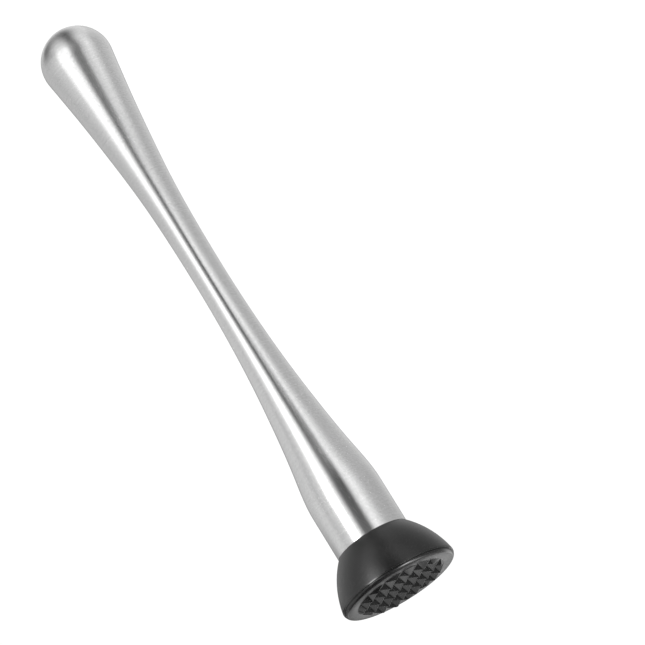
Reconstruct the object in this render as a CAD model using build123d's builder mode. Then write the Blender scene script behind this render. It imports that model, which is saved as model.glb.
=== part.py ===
from build123d import *
from math import cos, radians, sin, tan
import os

# A bar muddler: a hollow stainless handle with a screw-on nylon head.
#
# Frame: millimetres, +Z along the muddler's axis towards the knob. The origin is on the axis, in the
# plane of the tooth tips, so the muddler stands upright on its teeth at z = 0.

# ---- handle ----
total_length = 210.0
tube_radius = 11.8  # straight lower end
waist_radius = 5.16  # slimmest part of the grip
knob_radius = 11.45
knob_taper = 7.9  # degrees: half angle of the cone where it meets the knob
wall = 0.8  # stainless sheet of the tube and its cap
cap_lip_depth = 3.0  # how far the cap's locating lip reaches into the tube
cap_lip_gap = 0.03

# ---- head ----
head_radius = 19.0  # widest point, at the lip
head_height = 16.3  # from the flat ring to the joint with the tube
lip_height = 1.7
dome_middle = (16.6, 9.2)  # radius of the dome at this height above the ring
ring_radius = 17.8  # outer edge of the flat ring
pattern_radius = 14.8  # teeth lie inside this circle, the flat ring outside it
tooth_height = 1.9
tooth_pitch = 5.1
grid_line = 0.45  # flat strip between neighbouring teeth
smallest_tooth = 0.4  # mm3: slivers under this size are left out
gate_radius = 0.6
gate_depth = 0.5
spigot_height = 2.5
spigot_chamfer = 0.5
spigot_gap = 0.3  # radial room between the spigot and the tube's mouth

# ---- screw joint between head and handle, a coarse M10 thread ----
thread_pitch = 1.5
stud_crest = 4.94
stud_root = 4.08
bush_minor = 4.25
bush_major = 5.06
flank_angle = radians(30)
crest_half_width = 0.12
flank_clearance = 0.06
thread_start = 0.75  # first thread's height above the bush's lower face
stud_turns = 6.2
bush_turns = 5.2
bush_length = 10.0
bush_chamfer = 0.4
stud_overrun = 1.3  # how far the stud's end passes the bush
stud_chamfer = 0.6
hex_flats = 16.0
hex_height = 6.0
hex_depth = 4.0  # nylon between the hex and the spigot's face
seal_radius = 10.0
seal_bore = 5.2
seal_thickness = 1.2
seal_rounding = 0.25
braze_gap = 0.02
face_gap = 0.05  # room left between faces that meet across the joint
sink = 0.1  # how deep joined shapes reach into each other

# ---- heights along the axis ----
ring_z = tooth_height
lip_z = ring_z + lip_height
joint_z = ring_z + head_height
spigot_z = joint_z + spigot_height
bush_z = spigot_z + seal_thickness + face_gap
stud_top = bush_z + bush_length + stud_overrun
hex_z = spigot_z - hex_depth - hex_height
shank_z = hex_z + hex_height
shoulder_z = ring_z + 32.0
waist_z = ring_z + 115.0
knob_z = total_length - knob_radius
seam_z = knob_z - knob_radius * sin(radians(knob_taper))
seam_radius = knob_radius * cos(radians(knob_taper))

# Outer radius and height above the ring, up the flare to the waist and up the grip to the knob
flare_points = [(11.3, 38.5), (10.02, 46.7), (8.07, 61.7), (6.60, 76.9), (5.66, 92.1)]
grip_points = [(5.38, 132.5), (6.12, 148.5), (7.52, 164.1), (9.27, 179.8)]

os.makedirs("parts", exist_ok=True)


def handle_outline(inset):
    """Draw the handle's outline from mouth to seam, moved inwards by inset, and return its ends."""
    mouth = Line((tube_radius - inset, joint_z), (tube_radius - inset, shoulder_z))
    flare = Spline(
        mouth @ 1,
        *[(radius - inset, ring_z + height) for radius, height in flare_points],
        (waist_radius - inset, waist_z),
        tangents=((0, 1), (0, 1)),
    )
    grip = Spline(
        flare @ 1,
        *[(radius - inset, ring_z + height) for radius, height in grip_points],
        (seam_radius - inset, seam_z),
        tangents=((0, 1), (tan(radians(knob_taper)), 1)),
    )
    return mouth @ 0, grip @ 1


def thread_ridge(base, tip, tip_half_width, start, turns):
    """Add one right-hand helical ridge, from its base radius to its tip, to the part being built."""
    base_half_width = tip_half_width + abs(tip - base) * tan(flank_angle)
    with BuildLine() as path:
        Helix(thread_pitch, turns * thread_pitch, min(base, tip), center=(0, 0, start))
    with BuildSketch(Plane.XZ) as section:
        Polygon(
            (base, start - base_half_width),
            (tip, start - tip_half_width),
            (tip, start + tip_half_width),
            (base, start + base_half_width),
            align=None,
        )
    sweep(section.sketch, path=path.line, is_frenet=True)


# ---- handle tube: straight mouth, rounded shoulder, slim waist, cone up to the knob ----
with BuildPart() as handle_tube:
    with BuildSketch(Plane.XZ):
        with BuildLine():
            outer_ends = handle_outline(0)
            inner_ends = handle_outline(wall)
            for outer_end, inner_end in zip(outer_ends, inner_ends):
                Line(outer_end, inner_end)
        make_face()
    revolve(axis=Axis.Z)
handle_tube.part.label = "handle_tube"
export_step(handle_tube.part, "parts/handle_tube.step")


# ---- knob cap: a drawn dome with a lip that locates it inside the tube ----
with BuildPart() as knob_cap:
    with BuildSketch(Plane.XZ):
        with BuildLine():
            outer_dome = CenterArc((0, knob_z), knob_radius, -knob_taper, 90 + knob_taper)
            inner_dome = CenterArc((0, knob_z), knob_radius - wall, -knob_taper, 90 + knob_taper)
            Line(outer_dome @ 1, inner_dome @ 1)
            lip_radius = seam_radius - wall - cap_lip_gap
            lip_end_radius = lip_radius - cap_lip_depth * tan(radians(knob_taper))
            Polyline(
                outer_dome @ 0,
                (lip_radius, seam_z),
                (lip_end_radius, seam_z - cap_lip_depth),
                (lip_end_radius - wall, seam_z - cap_lip_depth),
                (lip_radius - wall, seam_z),
                inner_dome @ 0,
            )
        make_face()
    revolve(axis=Axis.Z)
knob_cap.part.label = "knob_cap"
export_step(knob_cap.part, "parts/knob_cap.step")


# ---- threaded bush: steel disc brazed into the tube's mouth, with the internal thread ----
with BuildPart() as threaded_bush:
    with BuildSketch(Plane.XY.offset(bush_z)):
        Circle(tube_radius - wall - braze_gap)
        Circle(bush_major, mode=Mode.SUBTRACT)
    extrude(amount=bush_length)
    chamfer(threaded_bush.edges().filter_by(GeomType.CIRCLE), length=bush_chamfer)
    # The ridge fills the stud's groove, half a pitch above the stud's own ridge
    groove_half_width = thread_pitch / 2 - crest_half_width - flank_clearance
    thread_ridge(
        base=bush_major + sink,
        tip=bush_minor,
        tip_half_width=groove_half_width - (stud_crest - bush_minor) * tan(flank_angle),
        start=bush_z + thread_start + thread_pitch / 2,
        turns=bush_turns,
    )
threaded_bush.part.label = "threaded_bush"
export_step(threaded_bush.part, "parts/threaded_bush.step")


# ---- stud: hex bolt moulded into the head, its thread standing out of the spigot ----
with BuildPart() as head_stud:
    with BuildSketch(Plane.XY.offset(hex_z)):
        RegularPolygon(hex_flats / 2, side_count=6, major_radius=False)
    extrude(amount=hex_height)
    with BuildSketch(Plane.XY.offset(shank_z)):
        Circle(stud_crest)
    extrude(amount=hex_depth)
    with BuildSketch(Plane.XY.offset(spigot_z)):
        Circle(stud_root)
    extrude(amount=stud_top - spigot_z)
    chamfer(head_stud.edges().filter_by(GeomType.CIRCLE).sort_by(Axis.Z)[-1], length=stud_chamfer)
    thread_ridge(
        base=stud_root - sink,
        tip=stud_crest,
        tip_half_width=crest_half_width,
        start=bush_z + thread_start,
        turns=stud_turns,
    )
head_stud.part.label = "head_stud"
export_step(head_stud.part, "parts/head_stud.step")


# ---- seal washer: flat rubber ring between the head's spigot and the bush ----
with BuildPart() as seal_washer:
    with BuildSketch(Plane.XY.offset(spigot_z)):
        Circle(seal_radius)
        Circle(seal_bore, mode=Mode.SUBTRACT)
    extrude(amount=seal_thickness)
    fillet(seal_washer.edges().filter_by(GeomType.CIRCLE), radius=seal_rounding)
seal_washer.part.label = "seal_washer"
export_step(seal_washer.part, "parts/seal_washer.step")


# ---- teeth: two crossed sets of ridges leave a grid of pyramids, and a cone rounds the grid off ----
tooth_base = tooth_pitch - grid_line
tooth_slope = 2 * tooth_height / tooth_base
ridge_count = 2 * (int(pattern_radius / tooth_pitch) + 1)


def ridge_row(plane):
    """Return a row of triangles that hang from the ring's plane and point down."""
    with BuildSketch(plane) as row:
        with Locations((0, ring_z)):
            with GridLocations(tooth_pitch, 0, ridge_count, 1):
                Polygon(
                    (-tooth_base / 2, sink),
                    (-tooth_base / 2, 0),
                    (0, -tooth_height),
                    (tooth_base / 2, 0),
                    (tooth_base / 2, sink),
                    align=None,
                )
    return row.sketch


with BuildPart() as teeth:
    extrude(ridge_row(Plane.XZ), amount=pattern_radius, both=True)
    extrude(ridge_row(Plane.YZ), amount=pattern_radius, both=True, mode=Mode.INTERSECT)
    with BuildSketch(Plane.XZ):
        Polygon(
            (0, 0),
            (pattern_radius - tooth_height / tooth_slope, 0),
            (pattern_radius, ring_z),
            (pattern_radius, ring_z + sink),
            (0, ring_z + sink),
            align=None,
        )
    revolve(axis=Axis.Z, mode=Mode.INTERSECT)


# ---- head: nylon moulding with the dome, the lip, the flat ring, the teeth and a spigot ----
with BuildPart() as muddler_head:
    with BuildSketch(Plane.XZ):
        with BuildLine():
            dome = ThreePointArc(
                (tube_radius, joint_z),
                (dome_middle[0], ring_z + dome_middle[1]),
                (head_radius, lip_z),
            )
            EllipticalCenterArc(
                (ring_radius, lip_z),
                head_radius - ring_radius,
                lip_height,
                start_angle=-90,
                arc_size=90,
            )
            spigot_radius = tube_radius - wall - spigot_gap
            Polyline(
                dome @ 0,
                (spigot_radius, joint_z),
                (spigot_radius, spigot_z - spigot_chamfer),
                (spigot_radius - spigot_chamfer, spigot_z),
                (0, spigot_z),
                (0, ring_z),
                (ring_radius, ring_z),
            )
        make_face()
    revolve(axis=Axis.Z)
    for tooth in teeth.solids():
        if tooth.volume > smallest_tooth:
            add(tooth)
    with BuildSketch(Plane.XY.offset(ring_z)):
        Circle(gate_radius)
    extrude(amount=gate_depth, mode=Mode.SUBTRACT)
    # Room for the stud, which the nylon grips
    with BuildSketch(Plane.XY.offset(hex_z)):
        RegularPolygon(hex_flats / 2, side_count=6, major_radius=False)
    extrude(amount=hex_height, mode=Mode.SUBTRACT)
    with BuildSketch(Plane.XY.offset(shank_z)):
        Circle(stud_crest)
    extrude(amount=hex_depth, mode=Mode.SUBTRACT)
muddler_head.part.label = "muddler_head"
export_step(muddler_head.part, "parts/muddler_head.step")
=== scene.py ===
"""Looks of the muddler: brushed steel handle, moulded nylon head, screw joint, studio and camera.

Blender's units are metres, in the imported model's frame: the muddler stands on its tooth tips at z = 0
with its axis on Z. The outlines below are in millimetres until a mesh is made of them. The camera
stands on the -Y side, turned a little towards -X, below the head and looking up at it.
"""

import math

import bmesh
import bpy
import numpy as np
from mathutils import Matrix, Vector


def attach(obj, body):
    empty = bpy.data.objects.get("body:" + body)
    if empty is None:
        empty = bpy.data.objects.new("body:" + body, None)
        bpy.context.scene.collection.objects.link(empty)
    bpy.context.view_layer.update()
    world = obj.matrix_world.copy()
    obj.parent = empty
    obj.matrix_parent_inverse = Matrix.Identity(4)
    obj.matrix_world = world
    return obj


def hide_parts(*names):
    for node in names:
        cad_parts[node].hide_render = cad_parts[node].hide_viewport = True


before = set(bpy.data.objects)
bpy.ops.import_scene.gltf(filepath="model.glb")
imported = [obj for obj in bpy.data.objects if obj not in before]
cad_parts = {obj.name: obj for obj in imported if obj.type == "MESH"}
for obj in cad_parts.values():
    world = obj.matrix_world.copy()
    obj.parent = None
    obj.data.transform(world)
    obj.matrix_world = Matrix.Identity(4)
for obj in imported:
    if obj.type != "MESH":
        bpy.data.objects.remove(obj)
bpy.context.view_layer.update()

MM = 0.001
TURN = 2 * math.pi

# ---- sizes in millimetres, as in part.py ----
TUBE_RADIUS = 11.8
WAIST_RADIUS = 5.16
KNOB_RADIUS = 11.45
KNOB_TAPER = math.radians(7.9)
WALL = 0.8
TOTAL_LENGTH = 210.0
CAP_LIP_DEPTH = 3.0
CAP_LIP_GAP = 0.03
RING_Z = 1.9
LIP_Z = 3.6
JOINT_Z = 18.2
SPIGOT_Z = 20.7
SHOULDER_Z = RING_Z + 32.0
WAIST_Z = RING_Z + 115.0
KNOB_Z = TOTAL_LENGTH - KNOB_RADIUS
SEAM_Z = KNOB_Z - KNOB_RADIUS * math.sin(KNOB_TAPER)
SEAM_RADIUS = KNOB_RADIUS * math.cos(KNOB_TAPER)
# Radius and height above the ring, up the flare to the waist and up the grip to the knob
FLARE = [(11.3, 38.5), (10.02, 46.7), (8.07, 61.7), (6.60, 76.9), (5.66, 92.1)]
GRIP = [(5.38, 132.5), (6.12, 148.5), (7.52, 164.1), (9.27, 179.8)]
HEAD_RADIUS = 19.0
DOME_MIDDLE = (16.6, RING_Z + 9.2)
RING_RADIUS = 17.8
PATTERN_RADIUS = 14.8
TOOTH_HEIGHT = 1.9
TOOTH_PITCH = 5.1
GRID_LINE = 0.45
SMALLEST_TOOTH = 0.4
GATE_RADIUS = 0.6
GATE_DEPTH = 0.5
SPIGOT_RADIUS = 10.7
SPIGOT_CHAMFER = 0.5
STUD_RADIUS = 4.94
HEX_FLATS = 16.0
HEX_TOP = 16.7
HEX_FLOOR = 10.7

# ---- detail that only the visual model has, in millimetres ----
MOUTH_ROUNDING = 0.12
MOUTH_FACE_ROW = 0.03  # from the mouth's rounded outer edge to the next row on its end face
MOUTH_SIDE_ROW = 0.05  # from the rounded edges to the next row up the tube
JOINT_ROUNDING = [(-0.1, 0.0), (-0.02, -0.03)]  # the head's edge at the joint, from the tube's radius
SEAM_LINE_Z = 3.0  # fine groove between the dome's rolled edge and the glossy lip below it
ROLL_GAP = 0.1  # from the rolled edge down to the groove
ROLL_START = 0.05  # radians below the head's widest point where the edge starts to roll in
GROOVE_TOP = [(-0.05, -0.03), (-0.28, -0.06)]  # the groove's upper side, from the rolled edge
GROOVE_FLOOR = [(-0.32, 0.0), (-0.20, -0.08)]  # its floor and lower side, from the groove's height
LIP_TOP = (-0.10, -0.10)  # where the lip begins, from the groove's height
LIP_MIDDLE = (18.47, 2.27)
LIP_FOOT = (RING_RADIUS + 0.06, RING_Z + 0.03)
TOOTH_EDGE_ROUNDING = 0.10
TOOTH_RIM_ROUNDING = 0.06
TOOTH_FOOT_ROUNDING = 0.02
TOOTH_FOOT = 0.03  # the teeth's material begins this far out of the ring's plane
GATE_ROUNDING = 0.03
GATE_STEEPNESS = 4
NET_STEP = TOOTH_PITCH / 42
NET_RADIUS = PATTERN_RADIUS + 0.45  # the teeth's square net lies inside this
FLAT_RADIUS = PATTERN_RADIUS + 0.75  # the turned ring reaches in to this
FLAT_TOLERANCE = 0.004  # smaller heights of the net are set to the ring's plane

SEGMENTS = 144  # round the axis
SPLINE_STEP = 1.0


# ---- outlines: lists of (radius, height) ----
def clamped_spline(points, start, end):
    """Points about SPLINE_STEP apart on a cubic spline through points, with tangents at both ends."""
    p = np.array(points, float)
    chord = np.linalg.norm(np.diff(p, axis=0), axis=1)
    n = len(p)
    start, end = (np.array(v, float) / np.linalg.norm(v) for v in (start, end))
    matrix = np.zeros((n, n))
    right = np.zeros((n, 2))
    matrix[0, 0] = matrix[-1, -1] = 1
    right[0], right[-1] = start, end
    for i in range(1, n - 1):
        before, after = chord[i - 1], chord[i]
        matrix[i, i - 1 : i + 2] = after, 2 * (before + after), before
        right[i] = 3 * (after * (p[i] - p[i - 1]) / before + before * (p[i + 1] - p[i]) / after)
    slope = np.linalg.solve(matrix, right)
    found = []
    for i, h in enumerate(chord):
        count = max(2, int(round(h / SPLINE_STEP)))
        for u in np.arange(count) / count:
            found.append(
                (2 * u**3 - 3 * u**2 + 1) * p[i]
                + (u**3 - 2 * u**2 + u) * h * slope[i]
                + (3 * u**2 - 2 * u**3) * p[i + 1]
                + (u**3 - u**2) * h * slope[i + 1]
            )
    found.append(p[-1])
    return [tuple(q) for q in found]


def arc(centre, radius, start, end, count):
    """Points on a circular arc, angles in radians."""
    return [
        (centre[0] + radius * math.cos(a), centre[1] + radius * math.sin(a))
        for a in np.linspace(start, end, count)
    ]


def arc_through(a, b, c, count):
    """Points on the circular arc from a through b to c."""
    (ax, ay), (bx, by), (cx, cy) = a, b, c
    d = 2 * (ax * (by - cy) + bx * (cy - ay) + cx * (ay - by))
    sa, sb, sc = ax * ax + ay * ay, bx * bx + by * by, cx * cx + cy * cy
    ux = (sa * (by - cy) + sb * (cy - ay) + sc * (ay - by)) / d
    uy = (sa * (cx - bx) + sb * (ax - cx) + sc * (bx - ax)) / d
    start, end = (math.atan2(y - uy, x - ux) for x, y in (a, c))
    return arc((ux, uy), math.hypot(ax - ux, ay - uy), start, end, count)


def shifted(origin, steps):
    """Points at the given steps from origin."""
    return [(origin[0] + across, origin[1] + up) for across, up in steps]


# ---- mesh helpers ----
def new_object(name, mesh):
    made = bpy.data.objects.new(name, mesh)
    bpy.context.scene.collection.objects.link(made)
    return made


def lathe(bm, rows, closed=False, sharp=(), material=lambda i: 0):
    """Adds a surface of revolution to bm and returns its rings of vertices.

    A row is (radius, height), or (function of the angle, height) where it isn't round. Rings whose
    number is in sharp keep a hard edge. material gives the material's number for the faces above
    ring i.
    """
    rings = []
    for radius, height in rows:
        if not callable(radius) and radius < 1e-9:
            rings.append([bm.verts.new((0, 0, height * MM))])
            continue
        ring = []
        for k in range(SEGMENTS):
            a = TURN * k / SEGMENTS
            r = radius(a) if callable(radius) else radius
            ring.append(bm.verts.new((r * math.cos(a) * MM, r * math.sin(a) * MM, height * MM)))
        rings.append(ring)
    count = len(rings) if closed else len(rings) - 1
    for i in range(count):
        low, high = rings[i], rings[(i + 1) % len(rings)]
        for k in range(SEGMENTS):
            n = (k + 1) % SEGMENTS
            if len(low) == 1:
                corners = (low[0], high[n], high[k])
            elif len(high) == 1:
                corners = (low[k], low[n], high[0])
            else:
                corners = (low[k], low[n], high[n], high[k])
            face = bm.faces.new(corners)
            face.smooth = True
            face.material_index = material(i)
    for i in sharp:
        ring = rings[i]
        for k in range(SEGMENTS):
            edge = bm.edges.get((ring[k], ring[(k + 1) % SEGMENTS]))
            if edge:
                edge.smooth = False
    return rings


def finish_mesh(name, bm, body, materials, replaced):
    """Turns bm into a piece that rides on a body and stands for a CAD node."""
    mesh = bpy.data.meshes.new(name)
    bmesh.ops.recalc_face_normals(bm, faces=bm.faces)
    bm.to_mesh(mesh)
    bm.free()
    piece = new_object(name, mesh)
    for material in materials:
        mesh.materials.append(material)
    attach(piece, body)
    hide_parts(replaced)


# ---- material helpers ----
def node_material(name):
    """A new material with a Principled shader, as material, node tree and shader."""
    made = bpy.data.materials.new(name)
    made.use_nodes = True
    tree = made.node_tree
    tree.nodes.clear()
    out = tree.nodes.new("ShaderNodeOutputMaterial")
    shader = tree.nodes.new("ShaderNodeBsdfPrincipled")
    tree.links.new(shader.outputs["BSDF"], out.inputs["Surface"])
    return made, tree, shader


def stretched_noise(tree, scale, roughness=0.6, seed=0.0):
    """A noise stretched by its own scale along each of the object's axes."""
    where = tree.nodes.new("ShaderNodeTexCoord")
    mapping = tree.nodes.new("ShaderNodeMapping")
    mapping.inputs["Scale"].default_value = scale
    mapping.inputs["Location"].default_value = (seed, seed * 0.7, seed * 1.3)
    noise = tree.nodes.new("ShaderNodeTexNoise")
    noise.inputs["Scale"].default_value = 1.0
    noise.inputs["Detail"].default_value = 3.0
    noise.inputs["Roughness"].default_value = roughness
    tree.links.new(where.outputs["Object"], mapping.inputs["Vector"])
    tree.links.new(mapping.outputs["Vector"], noise.inputs["Vector"])
    return noise.outputs["Fac"]


def spread(tree, value, source, target):
    """value moved from the range source to the range target."""
    node = tree.nodes.new("ShaderNodeMapRange")
    node.inputs["From Min"].default_value, node.inputs["From Max"].default_value = source
    node.inputs["To Min"].default_value, node.inputs["To Max"].default_value = target
    tree.links.new(value, node.inputs["Value"])
    return node.outputs["Result"]


def scaled(tree, value, factor):
    node = tree.nodes.new("ShaderNodeMath")
    node.operation = "MULTIPLY"
    node.inputs[1].default_value = factor
    tree.links.new(value, node.inputs[0])
    return node.outputs[0]


def blend(tree, first, second, share):
    """The sum of first, by its share, and second, by the rest."""
    node = tree.nodes.new("ShaderNodeMath")
    node.operation = "ADD"
    tree.links.new(scaled(tree, first, share), node.inputs[0])
    tree.links.new(scaled(tree, second, 1 - share), node.inputs[1])
    return node.outputs[0]


def tint(tree, value, dark, light):
    """A colour between dark and light."""
    node = tree.nodes.new("ShaderNodeMix")
    node.data_type = "RGBA"
    node.inputs["A"].default_value = (*dark, 1)
    node.inputs["B"].default_value = (*light, 1)
    tree.links.new(value, node.inputs["Factor"])
    return next(socket for socket in node.outputs if socket.type == "RGBA")


def bump(tree, shader, height, distance):
    node = tree.nodes.new("ShaderNodeBump")
    node.inputs["Distance"].default_value = distance
    tree.links.new(height, node.inputs["Height"])
    tree.links.new(node.outputs["Normal"], shader.inputs["Normal"])


def grey(level):
    return (level, level, level)


# ---- materials: noise scales are per metre, bump depths in metres ----
def brushed_steel():
    """Stainless, brushed round the handle: streaks that are long round it and fine along it."""
    made, tree, shader = node_material("brushed_stainless_look")
    fine = stretched_noise(tree, (60, 60, 9000), roughness=0.7)
    broad = stretched_noise(tree, (25, 25, 1600), seed=3.1)
    speckle = stretched_noise(tree, (1300, 1300, 2600), roughness=0.7, seed=6.4)
    marks = blend(tree, blend(tree, fine, broad, 0.7), speckle, 0.45)
    colour = tint(tree, spread(tree, marks, (0.35, 0.65), (0, 1)), grey(0.545), grey(0.675))
    tree.links.new(colour, shader.inputs["Base Color"])
    tree.links.new(spread(tree, marks, (0.3, 0.7), (0.235, 0.195)), shader.inputs["Roughness"])
    shader.inputs["Metallic"].default_value = 1.0
    shader.inputs["Anisotropic"].default_value = 0.8
    shader.inputs["Anisotropic Rotation"].default_value = 0.25
    tangent = tree.nodes.new("ShaderNodeTangent")
    tangent.direction_type = "RADIAL"
    tangent.axis = "Z"
    tree.links.new(tangent.outputs["Tangent"], shader.inputs["Tangent"])
    bump(tree, shader, fine, 0.000006)
    return made


def turned_steel(name, colour, roughness):
    """Steel as it comes off the lathe: fine turning marks and a faint stain."""
    made, tree, shader = node_material(name)
    turning = stretched_noise(tree, (80, 80, 5000), roughness=0.65)
    stain = stretched_noise(tree, (220, 220, 220), roughness=0.5, seed=1.7)
    marks = blend(tree, turning, stain, 0.6)
    dark = tuple(c * 0.82 for c in colour)
    marked = tint(tree, spread(tree, marks, (0.35, 0.65), (0, 1)), dark, colour)
    tree.links.new(marked, shader.inputs["Base Color"])
    rough = spread(tree, marks, (0.3, 0.7), (roughness + 0.08, roughness - 0.06))
    tree.links.new(rough, shader.inputs["Roughness"])
    shader.inputs["Metallic"].default_value = 1.0
    bump(tree, shader, turning, 0.000008)
    return made


def moulded(name, dark, light, roughness, grain, depth):
    """Moulded nylon or rubber: near-black, with a fine grain and a slightly uneven gloss."""
    made, tree, shader = node_material(name)
    fine = stretched_noise(tree, (grain, grain, grain))
    cloud = stretched_noise(tree, (120, 120, 120), roughness=0.55, seed=5.3)
    colour = tint(tree, spread(tree, cloud, (0.3, 0.7), (0, 1)), dark, light)
    tree.links.new(colour, shader.inputs["Base Color"])
    uneven = spread(tree, blend(tree, fine, cloud, 0.5), (0.3, 0.7), roughness)
    tree.links.new(uneven, shader.inputs["Roughness"])
    shader.inputs["IOR"].default_value = 1.47
    bump(tree, shader, fine, depth)
    return made


STEEL = brushed_steel()
NYLON_DOME = moulded("nylon_dome_look", grey(0.002), grey(0.004), (0.27, 0.36), 2600, 0.000038)
NYLON_LIP = moulded("nylon_lip_look", grey(0.003), grey(0.005), (0.12, 0.18), 3000, 0.000003)
NYLON_RING = moulded("nylon_ring_look", grey(0.010), grey(0.014), (0.30, 0.42), 4500, 0.000006)
NYLON_TEETH = moulded("nylon_teeth_look", grey(0.002), grey(0.004), (0.16, 0.24), 3000, 0.000002)
RUBBER = moulded("seal_rubber_look", grey(0.010), (0.018, 0.017, 0.017), (0.55, 0.70), 2500, 0.000012)
BUSH_STEEL = turned_steel("turned_steel_look", (0.60, 0.59, 0.57), 0.30)
BOLT_STEEL = turned_steel("bolt_steel_look", (0.56, 0.56, 0.57), 0.24)


# ---- handle tube and knob cap ----
def handle_rows():
    """The outside of the handle from mouth to seam."""
    rise = (0, 1)
    straight = [(TUBE_RADIUS, z) for z in np.linspace(JOINT_Z, SHOULDER_Z, 12)[:-1]]
    flare_points = [(TUBE_RADIUS, SHOULDER_Z), *shifted((0, RING_Z), FLARE), (WAIST_RADIUS, WAIST_Z)]
    grip_points = [(WAIST_RADIUS, WAIST_Z), *shifted((0, RING_Z), GRIP), (SEAM_RADIUS, SEAM_Z)]
    flare = clamped_spline(flare_points, rise, rise)
    grip = clamped_spline(grip_points, rise, (math.tan(KNOB_TAPER), 1))
    return straight + flare[:-1] + grip


def make_tube():
    """The tube with its wall and rounded edges at the mouth, closed from outside to inside at the seam."""
    bore = TUBE_RADIUS - WALL
    rounding = MOUTH_ROUNDING
    rounding_z = JOINT_Z + rounding
    outer = handle_rows()[1:]
    outside = [
        (bore + rounding, JOINT_Z),
        (TUBE_RADIUS - rounding - MOUTH_FACE_ROW, JOINT_Z),
        *arc((TUBE_RADIUS - rounding, rounding_z), rounding, -math.pi / 2, 0, 6),
        (TUBE_RADIUS, rounding_z + MOUTH_SIDE_ROW),
        *outer,
    ]
    inside = [
        *[(r - WALL, z) for r, z in reversed(outer)],
        (bore, rounding_z + MOUTH_SIDE_ROW),
        *arc((bore + rounding, rounding_z), rounding, math.pi, 1.5 * math.pi, 6)[:-1],
    ]
    bm = bmesh.new()
    seam = len(outside) - 1
    lathe(bm, outside + inside, closed=True, sharp=(seam, seam + 1))
    finish_mesh("handle_tube_brushed", bm, "handle", [STEEL], "handle_tube")


def make_cap():
    """The knob's dome with its hollow and the lip that stands in the tube."""
    lip_radius = SEAM_RADIUS - WALL - CAP_LIP_GAP
    lip_end = lip_radius - CAP_LIP_DEPTH * math.tan(KNOB_TAPER)
    dome = arc((0, KNOB_Z), KNOB_RADIUS, -KNOB_TAPER, math.pi / 2, 72)
    dome[-1] = (0.0, TOTAL_LENGTH)
    hollow = arc((0, KNOB_Z), KNOB_RADIUS - WALL, math.pi / 2, -KNOB_TAPER, 48)
    hollow[0] = (0.0, TOTAL_LENGTH - WALL)
    lip = [
        (lip_radius - WALL, SEAM_Z),
        (lip_end - WALL, SEAM_Z - CAP_LIP_DEPTH),
        (lip_end, SEAM_Z - CAP_LIP_DEPTH),
        (lip_radius, SEAM_Z),
    ]
    bm = bmesh.new()
    rings = lathe(bm, dome, sharp=(0,))
    under = lathe(bm, hollow + lip, sharp=range(len(hollow) - 1, len(hollow) + len(lip)))
    low, high = under[-1], rings[0]
    for k in range(SEGMENTS):
        n = (k + 1) % SEGMENTS
        bm.faces.new((low[k], low[n], high[n], high[k]))
    finish_mesh("knob_cap_brushed", bm, "handle", [STEEL], "knob_cap")


# ---- the teeth on the head's face ----
def soft_min(a, b, k):
    """The smaller of two values, rounded over about k where they meet."""
    return -k * np.logaddexp(-a / k, -b / k)


def soft_max(a, b, k):
    """The larger of two values, rounded over about k where they meet."""
    return k * np.logaddexp(a / k, b / k)


TOOTH_HALF = (TOOTH_PITCH - GRID_LINE) / 2
TOOTH_SLOPE = TOOTH_HEIGHT / TOOTH_HALF


def left_out_cells():
    """Centres of the cells whose tooth would be a sliver, which the moulding leaves flat."""
    found = []
    reach = int(PATTERN_RADIUS / TOOTH_PITCH) + 1
    centres = [(i + 0.5) * TOOTH_PITCH for i in range(-reach, reach)]
    grid = np.linspace(-TOOTH_HALF, TOOTH_HALF, 61)
    cell = (grid[1] - grid[0]) ** 2
    u, v = np.meshgrid(grid, grid)
    for cx in centres:
        for cy in centres:
            rim = PATTERN_RADIUS - np.hypot(cx + u, cy + v)
            height = TOOTH_SLOPE * np.minimum(TOOTH_HALF - np.maximum(abs(u), abs(v)), rim)
            if np.maximum(height, 0).sum() * cell < SMALLEST_TOOTH:
                found.append((cx, cy))
    return found


def face_height(x, y):
    """How far the head's face stands out of the ring's plane at x, y, in millimetres."""
    cx = (np.floor(x / TOOTH_PITCH) + 0.5) * TOOTH_PITCH
    cy = (np.floor(y / TOOTH_PITCH) + 0.5) * TOOTH_PITCH
    side = TOOTH_HALF - soft_max(abs(x - cx), abs(y - cy), TOOTH_EDGE_ROUNDING)
    rim = PATTERN_RADIUS - np.hypot(x, y)
    tooth = TOOTH_SLOPE * soft_min(side, rim, TOOTH_RIM_ROUNDING)
    for ox, oy in left_out_cells():
        left_out = np.isclose(cx, ox) & np.isclose(cy, oy)
        tooth = np.where(left_out, -1.0, tooth)
    return soft_max(tooth, np.zeros_like(tooth), TOOTH_FOOT_ROUNDING)


# ---- the head ----
DOME_PART, LIP_PART, RING_PART, TEETH_PART = range(4)


def hexagon(a):
    """Radius of the stud's hexagonal pocket at an angle, with corners on the X axis."""
    return HEX_FLATS / 2 / math.cos((a + math.pi / 6) % (math.pi / 3) - math.pi / 6)


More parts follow.
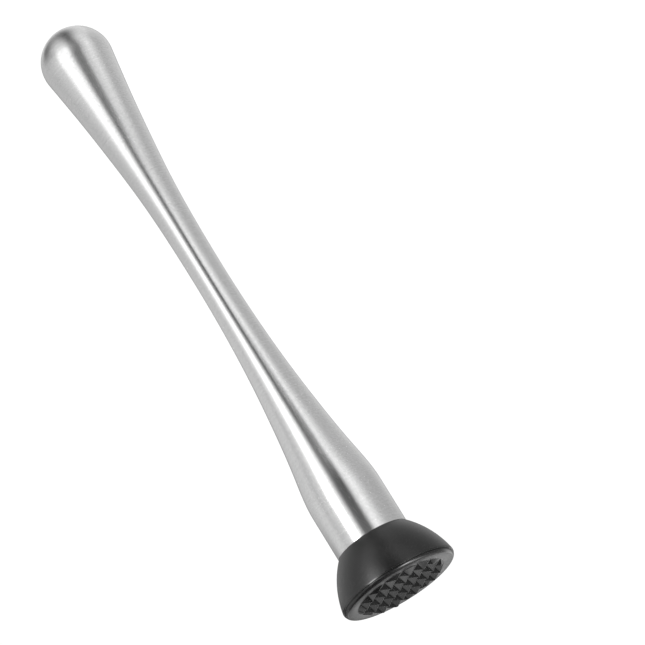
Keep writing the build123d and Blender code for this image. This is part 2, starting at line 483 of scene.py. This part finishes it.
def add_turned_head(bm):
    """Adds all of the head but its face, from the stud's pocket over the dome to the flat ring."""
    pocket = [
        (0.0, HEX_FLOOR),
        (hexagon, HEX_FLOOR),
        (hexagon, HEX_TOP),
        (STUD_RADIUS, HEX_TOP),
        (STUD_RADIUS, SPIGOT_Z),
        (SPIGOT_RADIUS - SPIGOT_CHAMFER, SPIGOT_Z),
        (SPIGOT_RADIUS, SPIGOT_Z - SPIGOT_CHAMFER),
        (SPIGOT_RADIUS, JOINT_Z),
    ]
    joint = shifted((TUBE_RADIUS, JOINT_Z), JOINT_ROUNDING)
    dome = arc_through((TUBE_RADIUS, JOINT_Z), DOME_MIDDLE, (HEAD_RADIUS, LIP_Z), 60)[1:]
    # Below its widest point the dome rolls in to the groove over the glossy lip
    roll_end = math.asin((LIP_Z - SEAM_LINE_Z - ROLL_GAP) / (LIP_Z - RING_Z))
    roll = [
        (
            RING_RADIUS + (HEAD_RADIUS - RING_RADIUS) * math.cos(a),
            LIP_Z - (LIP_Z - RING_Z) * math.sin(a),
        )
        for a in np.linspace(ROLL_START, roll_end, 9)
    ]
    edge_radius, edge_z = roll[-1]
    roll += shifted((edge_radius, edge_z), GROOVE_TOP)
    *groove, lip_top = shifted((edge_radius, SEAM_LINE_Z), [*GROOVE_FLOOR, LIP_TOP])
    lip = groove + arc_through(lip_top, LIP_MIDDLE, LIP_FOOT, 16)
    ring = [(RING_RADIUS, RING_Z), (FLAT_RADIUS, RING_Z)]

    matt = pocket + joint + dome
    lip_start = len(matt)
    ring_start = lip_start + len(roll + lip)

    def part_of(i):
        if i < lip_start:
            return DOME_PART
        return LIP_PART if i < ring_start - 1 else RING_PART

    hard = [*range(1, len(pocket)), ring_start - 1]
    return lathe(bm, matt + roll + lip + ring, sharp=hard, material=part_of)


def add_face(bm, outer):
    """Adds a fine square net for the teeth and the gate, and fills the gap out to the ring outer."""
    reach = int(math.ceil(FLAT_RADIUS / NET_STEP))
    coords = np.arange(-reach, reach + 1) * NET_STEP
    x, y = np.meshgrid(coords, coords, indexing="ij")
    gate = soft_max(GATE_RADIUS - np.hypot(x, y), np.zeros_like(x), GATE_ROUNDING)
    z = RING_Z - face_height(x, y) + np.minimum(gate * GATE_STEEPNESS, GATE_DEPTH)
    z = np.where(np.abs(z - RING_Z) < FLAT_TOLERANCE, RING_Z, z)
    nodes = {}
    for i, j in zip(*np.nonzero(np.hypot(x, y) < NET_RADIUS)):
        nodes[i, j] = bm.verts.new((x[i, j] * MM, y[i, j] * MM, z[i, j] * MM))
    for i, j in nodes:
        cell = ((i, j), (i + 1, j), (i + 1, j + 1), (i, j + 1))
        if not all(place in nodes for place in cell):
            continue
        face = bm.faces.new([nodes[place] for place in cell])
        face.smooth = True
        raised = max(abs(z[place] - RING_Z) for place in cell) > TOOTH_FOOT
        face.material_index = TEETH_PART if raised else RING_PART
    loose = [v for v in nodes.values() if not v.link_faces]
    bmesh.ops.delete(bm, geom=loose, context="VERTS")
    net = [v for v in nodes.values() if v.is_valid]
    border = {e for v in net for e in v.link_edges if len(e.link_faces) == 1}
    border |= {bm.edges.get((outer[k], outer[(k + 1) % SEGMENTS])) for k in range(SEGMENTS)}
    filled = bmesh.ops.triangle_fill(bm, edges=list(border), use_beauty=True, normal=(0, 0, -1))
    for element in filled["geom"]:
        if isinstance(element, bmesh.types.BMFace):
            element.smooth = True
            element.material_index = RING_PART


def make_head():
    bm = bmesh.new()
    rings = add_turned_head(bm)
    add_face(bm, rings[-1])
    looks = [NYLON_DOME, NYLON_LIP, NYLON_RING, NYLON_TEETH]
    finish_mesh("muddler_head_moulded", bm, "head", looks, "muddler_head")


make_tube()
make_cap()
make_head()

# ---- CAD pieces of the screw joint, kept with their own materials ----
for node, look, slot in (
    ("threaded_bush", BUSH_STEEL, "turned_steel"),
    ("head_stud", BOLT_STEEL, "bolt_steel"),
    ("seal_washer", RUBBER, "seal_rubber"),
):
    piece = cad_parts[node]
    piece.data.materials.clear()
    piece.data.materials.append(look)

# ---- studio: a light tent round the object that only reflections see, and white outside it ----
TENT_RADIUS = 0.12
TENT_FLOOR, TENT_TOP = -0.10, 0.32
TENT_SEGMENTS, TENT_ROWS, CAP_ROWS = 360, 140, 17
CAMERA_TURN = 30.0  # degrees that the camera stands round from -Y towards -X

# Light and dark bands on the tent's wall. A surface that faces halfway between the camera and a band
# mirrors the band, so bands are placed by half their angle from the camera's side, in degrees and
# positive to the camera's left. Each table gives values by height in metres. They come from the photo:
# helper scripts printed its brightness across the handle and the light that the wall needs for the
# knob's reflections, and values read off those printouts were typed in and adjusted over many renders.
# The slit is the dark band, with the hot band to its left, and the shoulder and the peak to its right.
SLIT_AT = [
    (0.055, -2.2), (0.09, -2.3), (0.123, -3.5), (0.129, -2.1), (0.139, 2.3), (0.146, 5.7), (0.154, 6.7),
    (0.167, 3.8), (0.177, -0.3), (0.1845, -4.0), (0.194, -6.9), (0.201, -6.8), (0.21, -8.0), (0.24, -9.3),
]
SLIT_HALF = [
    (0.055, 5.0), (0.09, 4.6), (0.123, 5.3), (0.139, 5.0), (0.15, 4.5), (0.167, 4.9), (0.177, 4.8),
    (0.194, 4.2), (0.24, 4.2),
]
SLIT_SOFTNESS = [
    (0.055, 1.5), (0.09, 1.5), (0.123, 1.2), (0.139, 0.8), (0.15, 0.6), (0.167, 0.7), (0.177, 1.0),
    (0.194, 1.6), (0.201, 1.6),
]
SLIT_LEVEL = [
    (0.0, 0.45), (0.055, 0.08), (0.09, 0.08), (0.12, 0.0), (0.18, 0.0), (0.194, 0.02), (0.201, 0.10),
    (0.24, 0.30),
]
SLIT_RISE = [  # how much lighter the slit is at its left edge than at its right
    (0.055, 0.02), (0.09, 0.12), (0.13, 0.32), (0.142, 0.10), (0.15, 0.0), (0.177, 0.02), (0.194, 0.12),
]
SHOULDER_LEVEL = [
    (0.055, 1.2), (0.1, 1.25), (0.139, 1.6), (0.15, 1.95), (0.167, 1.85), (0.185, 1.28), (0.201, 0.86),
]
PEAK_AT = [
    (0.055, -19), (0.09, -18), (0.123, -16), (0.139, -13), (0.146, -10), (0.154, -7.5), (0.167, -10),
    (0.177, -12), (0.1845, -15), (0.194, -21), (0.201, -27),
]
PEAK_LEVEL = [
    (0.055, 1.48), (0.09, 1.40), (0.139, 1.60), (0.154, 1.95), (0.167, 1.80), (0.177, 1.52), (0.185, 1.60),
    (0.194, 1.42), (0.201, 1.30), (0.24, 1.28),
]
PEAK_END_AT = [
    (0.055, -30), (0.1175, -29), (0.1275, -26), (0.134, -23), (0.146, -23), (0.155, -19), (0.167, -17.5),
    (0.177, -18.5), (0.1845, -28), (0.194, -33), (0.201, -36.5), (0.24, -38),
]
HOT_LEVEL = [
    (-0.045, 0.6), (-0.025, 11.0), (0.02, 10.5), (0.05, 6.5), (0.085, 5.5), (0.1, 2.4), (0.12, 1.8),
    (0.26, 1.75),
]
HOT_END = [(0.1, 0.76), (0.14, 1.0), (0.18, 0.95), (0.2, 0.78)]
SHADE_LEVEL = [(0.155, 0.68), (0.177, 0.60), (0.19, 0.68)]  # right of the peak
FLANK_EXTRA = [(0.05, -0.1), (0.1, 0.0), (0.19, 0.03)]  # further right
DIP_LEVEL = [(0.055, 0.80), (0.09, 0.76), (0.12, 0.78), (0.145, 0.86)]  # left of the hot band
SWELL_LEVEL = [(0.055, 0.98), (0.09, 0.95), (0.12, 0.90), (0.145, 0.86), (0.19, 0.74)]
FAR_LEVEL = [(0.055, 0.76), (0.12, 0.86), (0.15, 0.83), (0.185, 0.69), (0.2, 0.74)]
# The low wall behind the object, which the head's underside mirrors, by the full angle and by height
BACK_BY_ANGLE = [(150, 0.35), (164, 0.7), (174, 1.2), (180, 0.8), (186, 1.4), (210, 1.2)]
BACK_BY_HEIGHT = [(-0.065, 0.6), (-0.045, 1.4), (-0.025, 1.2), (-0.012, 0.4)]
BACK_BEGINS = [(110, 0), (130, 1)]
BACK_ENDS = [(0.03, 1), (0.06, 0)]
# The top of the wall, which the knob mirrors, by half angle, and the heights over which it takes over
TOP_LEVEL = [
    (-90, 0.9), (-50, 0.9), (-33, 1.15), (-22, 0.85), (-12, 0.25), (-7, 0.40), (0, 0.82), (11, 1.3),
    (18, 1.15), (30, 0.55), (52, 0.27), (60, 0.36), (72, 0.85), (82, 1.2), (90, 0.9),
]
TOP_BEGINS = [(0.26, 0), (TENT_TOP, 1)]


def look_up(table, at):
    """The table's value at a place, in a straight line between its entries."""
    places, values = zip(*table)
    return np.interp(at, places, values)


def wall_light(angle, height):
    """Brightness of the wall at an angle in degrees, positive to the camera's left, and a height."""
    slit = look_up(SLIT_AT, height)
    half = look_up(SLIT_HALF, height)
    soft = look_up(SLIT_SOFTNESS, height)
    dark = look_up(SLIT_LEVEL, height)
    rise = look_up(SLIT_RISE, height)
    end = look_up(HOT_END, height)
    hot = look_up(HOT_LEVEL, height)
    peak_end = look_up(PEAK_END_AT, height)
    shade = look_up(SHADE_LEVEL, height)
    flank = look_up(FLANK_EXTRA, height)
    far = look_up(FAR_LEVEL, height)
    low, high = slit - half, slit + half
    bands = [
        # From the right edge, which is bright with a thin dark line, to the peak
        (-90, 1.9), (-86, 1.7), (-83, 0.40), (-79, 0.50), (-74, 0.85), (-70, 0.88),
        (-60, 0.79 + flank), (-49, 0.70 + flank), (peak_end - 7, shade),
        (peak_end - 2, shade + 0.06), (peak_end + 5, 1.08),
        (look_up(PEAK_AT, height), look_up(PEAK_LEVEL, height)),
        # The shoulder and the slit
        (low - 4 * soft, look_up(SHOULDER_LEVEL, height)), (low - 1.5 * soft, 0.55), (low, dark),
        (high, dark + rise), (high + 2 * soft, 0.6), (high + 4 * soft, 1.2), (high + 6 * soft, 1.8),
        # The hot band
        (max(15.5, high + 6 * soft + 0.5), hot), (20, hot), (23, 1.8 * end), (26, 1.3 * end),
        # On to the left edge, which is as the right one
        (30, 0.78 + 0.22 * end), (36, look_up(DIP_LEVEL, height)), (46, look_up(SWELL_LEVEL, height)),
        (62, far), (70, 0.92 * far), (75, 0.60), (79, 0.35), (83, 0.35), (86, 1.7), (90, 1.9),
    ]
    level = look_up(bands, angle / 2)
    back = look_up(BACK_BY_ANGLE, angle % 360) * look_up(BACK_BY_HEIGHT, height)
    share = look_up(BACK_ENDS, height) * look_up(BACK_BEGINS, abs(angle))
    level = level * (1 - share) + back * share
    share = look_up(TOP_BEGINS, height)
    return level * (1 - share) + look_up(TOP_LEVEL, angle / 2) * share


def glow(x, y, centre, size):
    """A soft oval patch: 1 at its centre, fading out over its size."""
    return math.exp(-(((x - centre[0]) / size[0]) ** 2) - ((y - centre[1]) / size[1]) ** 2)


def ceiling_light(x, y):
    """Brightness of the ceiling at a place, with x to the camera's right and y away from it: white,
    with a dark slot that runs away from the camera and a dark patch at the left."""
    slot_x = 0.012 - 0.19 * y
    slot = look_up([(0.0, 1), (0.08, 0)], y) * math.exp(-(((x - slot_x) / 0.038) ** 2))
    patch = glow(x, y, (-0.085, 0.035), (0.07, 0.07))
    return 1.05 - 0.82 * slot - 0.85 * patch


def floor_light(x, y):
    """Brightness of the tent's floor at a place, as above: lighter to the right, where two lamps are."""
    front_lamp = 18.0 * glow(x, y, (0.053, -0.07), (0.022, 0.024))
    side_lamp = 4.0 * glow(x, y, (0.06, -0.015), (0.024, 0.026))
    return look_up([(-0.045, 0.15), (0.0, 0.45), (0.05, 1.0)], x) + front_lamp + side_lamp


def add_cap(bm, ring, z, levels, light):
    """Closes the tent at a height, with its brightness from the function light."""
    inner = ring
    for share in np.linspace(1, 0, CAP_ROWS)[1:-1]:
        made = []
        for k, outer in enumerate(ring):
            place = outer.co * share
            place.z = z
            made.append(bm.verts.new(place))
            angle = TURN * k / TENT_SEGMENTS - math.pi
            across = -TENT_RADIUS * share * math.sin(angle)
            away = -TENT_RADIUS * share * math.cos(angle)
            levels[made[-1]] = float(light(across, away))
        for k in range(TENT_SEGMENTS):
            n = (k + 1) % TENT_SEGMENTS
            bm.faces.new((inner[k], inner[n], made[n], made[k]))
        inner = made
    centre = bm.verts.new((0, 0, z))
    levels[centre] = float(light(0, 0))
    for k in range(TENT_SEGMENTS):
        bm.faces.new((inner[k], inner[(k + 1) % TENT_SEGMENTS], centre))


def tent_material():
    """Light by the mesh's own levels on the inside, and plain white from outside."""
    made = bpy.data.materials.new("light_tent_look")
    made.use_nodes = True
    tree = made.node_tree
    tree.nodes.clear()
    out = tree.nodes.new("ShaderNodeOutputMaterial")
    shader = tree.nodes.new("ShaderNodeEmission")
    tree.links.new(shader.outputs["Emission"], out.inputs["Surface"])
    attribute = tree.nodes.new("ShaderNodeAttribute")
    attribute.attribute_name = "level"
    geometry = tree.nodes.new("ShaderNodeNewGeometry")
    pick = tree.nodes.new("ShaderNodeMix")
    tree.links.new(geometry.outputs["Backfacing"], pick.inputs["Factor"])
    tree.links.new(attribute.outputs["Fac"], pick.inputs["A"])
    pick.inputs["B"].default_value = 1.0
    tree.links.new(pick.outputs["Result"], shader.inputs["Strength"])
    made.cycles.emission_sampling = "NONE"
    return made


def make_tent():
    bm = bmesh.new()
    rings, levels = [], {}
    for z in np.linspace(TENT_FLOOR, TENT_TOP, TENT_ROWS):
        ring = []
        for k in range(TENT_SEGMENTS):
            angle = 360.0 * k / TENT_SEGMENTS - 180
            a = math.radians(angle + CAMERA_TURN)
            v = bm.verts.new((-TENT_RADIUS * math.sin(a), -TENT_RADIUS * math.cos(a), z))
            ring.append(v)
            levels[v] = float(wall_light(angle, z))
        rings.append(ring)
    for low, high in zip(rings, rings[1:]):
        for k in range(TENT_SEGMENTS):
            n = (k + 1) % TENT_SEGMENTS
            bm.faces.new((low[k], high[k], high[n], low[n]))
    add_cap(bm, rings[-1], TENT_TOP, levels, ceiling_light)
    add_cap(bm, rings[0], TENT_FLOOR, levels, floor_light)
    bmesh.ops.recalc_face_normals(bm, faces=bm.faces)
    bmesh.ops.reverse_faces(bm, faces=bm.faces)
    in_order = np.array([levels[v] for v in bm.verts], np.float32)
    mesh = bpy.data.meshes.new("light_tent")
    bm.to_mesh(mesh)
    bm.free()
    mesh.attributes.new("level", "FLOAT", "POINT").data.foreach_set("value", in_order)
    mesh.materials.append(tent_material())
    tent = new_object("light_tent", mesh)
    tent.visible_camera = False
    tent.visible_shadow = False


def make_world():
    world = bpy.data.worlds.new("studio")
    bpy.context.scene.world = world
    world.use_nodes = True
    background = world.node_tree.nodes["Background"]
    background.inputs["Color"].default_value = (1, 1, 1, 1)
    background.inputs["Strength"].default_value = 1.05


FLOOR_Z = -2.0  # far below, because the camera looks up at the head's face
FLOOR_HALF_SIZE = 15.0


def make_floor():
    bm = bmesh.new()
    bmesh.ops.create_grid(bm, x_segments=8, y_segments=8, size=FLOOR_HALF_SIZE)
    mesh = bpy.data.meshes.new("floor")
    bm.to_mesh(mesh)
    bm.free()
    floor = new_object("floor", mesh)
    floor.location = (0, 0, FLOOR_Z)
    look, _, shader = node_material("floor_look")
    shader.inputs["Base Color"].default_value = (*grey(0.93), 1)
    shader.inputs["Roughness"].default_value = 0.9
    mesh.materials.append(look)


make_tent()
make_world()
make_floor()

# ---- camera: the photograph's viewing angle ----
CAMERA_PLACE = Vector((0.0, -1.2625, -0.31866))  # in metres, before the turn about the axis
CAMERA_PAN = math.radians(0.9845)
CAMERA_TILT = math.radians(17.715)
CAMERA_ROLL = math.radians(31.952)
FOCAL_LENGTH = 244.83  # millimetres, with the sensor's width of 36

lens = bpy.data.cameras.new("camera")
lens.sensor_width = 36
lens.lens = FOCAL_LENGTH
lens.clip_start, lens.clip_end = 0.05, 50
camera = new_object("camera", lens)
aim = (
    Matrix.Rotation(-CAMERA_PAN, 4, "Z")
    @ Matrix.Rotation(math.pi / 2 + CAMERA_TILT, 4, "X")
    @ Matrix.Rotation(-CAMERA_ROLL, 4, "Z")
)
round_the_axis = Matrix.Rotation(-math.radians(CAMERA_TURN), 4, "Z")
camera.matrix_world = round_the_axis @ Matrix.Translation(CAMERA_PLACE) @ aim
bpy.context.scene.camera = camera
bpy.context.scene.view_settings.view_transform = "Standard"
